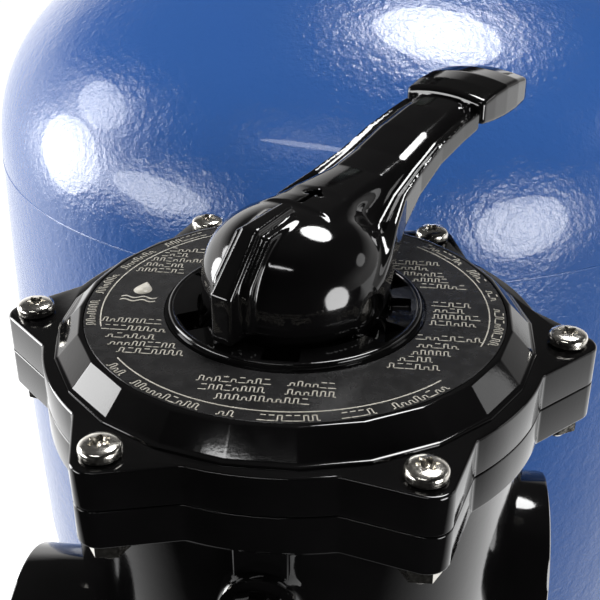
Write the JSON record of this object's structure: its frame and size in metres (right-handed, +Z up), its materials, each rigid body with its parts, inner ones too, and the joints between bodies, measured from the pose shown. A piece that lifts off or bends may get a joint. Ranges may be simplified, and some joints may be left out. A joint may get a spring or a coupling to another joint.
{
  "type": "side-mount pool sand filter",
  "caption": "Moulded sand filter tank on a foot, with a multiport valve on its side, union connections, inner pipework, lid, pressure gauge and drain.",
  "frame": {"origin": "on the tank's axis, at the floor under the foot", "axes": "+Z up, -Y towards the valve's side, +X to the right when facing the valve"},
  "size_m": [0.4848, 0.7314, 0.834],
  "materials": {
    "tank_blue": "glossy, slightly dimpled",
    "black_gloss": "glossy",
    "black_satin": "satin",
    "label": "satin print",
    "stainless": "polished",
    "rubber": "matt",
    "white_plastic": "moulded",
    "dial_white": "printed",
    "clear": "clear",
    "spring_steel": "drawn wire"
  },
  "bodies": {
    "filter": {"tank_shell": "tank_blue", "tank_foot": "black_satin", "bulkhead_upper": "black_satin", "bulkhead_gasket_upper": "rubber", "bulkhead_nut_upper": "black_satin", "union_nut_upper": "black_gloss", "union_oring_upper": "rubber", "bulkhead_lower": "black_satin", "bulkhead_gasket_lower": "rubber", "bulkhead_nut_lower": "black_satin", "union_nut_lower": "black_gloss", "union_oring_lower": "rubber", "inlet_pipe": "white_plastic", "diffuser": "white_plastic", "outlet_pipe": "white_plastic", "lateral_hub": "white_plastic", "lateral_1": "white_plastic", "lateral_2": "white_plastic", "lateral_3": "white_plastic", "lateral_4": "white_plastic", "lateral_5": "white_plastic", "lateral_6": "white_plastic", "lid": "black_gloss", "lid_gasket": "rubber", "lid_ring": "black_gloss", "gauge_case": "black_gloss", "gauge_dial": "dial_white", "gauge_lens": "clear", "valve_body": "black_gloss", "valve_cover": "black_gloss", "cover_oring": "rubber", "label_plate": "label", "spider_gasket": "rubber", "shaft_oring": "rubber", "thrust_washer": "white_plastic", "handle_washer": "white_plastic", "gauge_port_plug": "black_gloss", "cover_screw_1": "stainless", "cover_screw_2": "stainless", "cover_screw_3": "stainless", "cover_screw_4": "stainless", "cover_screw_5": "stainless", "cover_screw_6": "stainless", "cover_nut_1": "stainless", "cover_nut_2": "stainless", "cover_nut_3": "stainless", "cover_nut_4": "stainless", "cover_nut_5": "stainless", "cover_nut_6": "stainless"},
    "turning_group": {"rotor_spring": "spring_steel"},
    "lifting_group": {"rotor": "white_plastic", "pivot_pin": "stainless"},
    "handle_lever": {"handle": "black_gloss"},
    "needle": {"gauge_needle": "black_satin"},
    "air_release_seal": {"air_release_oring": "rubber"},
    "air_release_cap": {"air_release_screw": "black_gloss"},
    "drain_seal": {"drain_gasket": "rubber"},
    "drain_cap": {"drain_plug": "black_gloss"}
  },
  "joints": [
    {"name": "rotor_turn", "type": "hinge", "parent": "filter", "child": "turning_group", "pos_m": [0, -0.402, 0.6127], "axis": [0, 0, 1], "continuous": true},
    {"name": "rotor_lift", "type": "slide", "parent": "turning_group", "child": "lifting_group", "axis": [0, 0, 1], "range_m": [0, 0.0056], "deforming": ["rotor_spring"]},
    {"name": "handle_press", "type": "hinge", "parent": "lifting_group", "child": "handle_lever", "pos_m": [0, -0.402, 0.6275], "axis": [-0.866, 0.5, 0], "range_deg": [0, 12], "stiffness_Nm_per_rad": 2, "springref_deg": -17.19},
    {"name": "gauge_pointer", "type": "hinge", "parent": "filter", "child": "needle", "pos_m": [0, -0.022, 0.801], "axis": [0, 1, 0], "range_deg": [0, 270], "stiffness_Nm_per_rad": 0.001, "springref_deg": -17.19},
    {"name": "air_release_travel", "type": "slide", "parent": "filter", "child": "air_release_seal", "axis": [0, -1, 0], "range_m": [0, 0.0061]},
    {"name": "air_release_turn", "type": "hinge", "parent": "air_release_seal", "child": "air_release_cap", "pos_m": [0, -0.0363, 0.7314], "axis": [0, -1, 0], "range_deg": [0, 1440]},
    {"name": "drain_travel", "type": "slide", "parent": "filter", "child": "drain_seal", "axis": [0, -1, 0], "range_m": [0, 0.0121]},
    {"name": "drain_turn", "type": "hinge", "parent": "drain_seal", "child": "drain_cap", "pos_m": [0, -0.2403, 0.205], "axis": [0, -1, 0], "range_deg": [0, 2160]}
  ],
  "couplings": [
    {"joint": "rotor_lift", "follows": "handle_press", "m_per_rad": 0.0262},
    {"joint": "air_release_travel", "follows": "air_release_turn", "m_per_rad": 0.0002387},
    {"joint": "drain_travel", "follows": "drain_turn", "m_per_rad": 0.0003183}
  ]
}
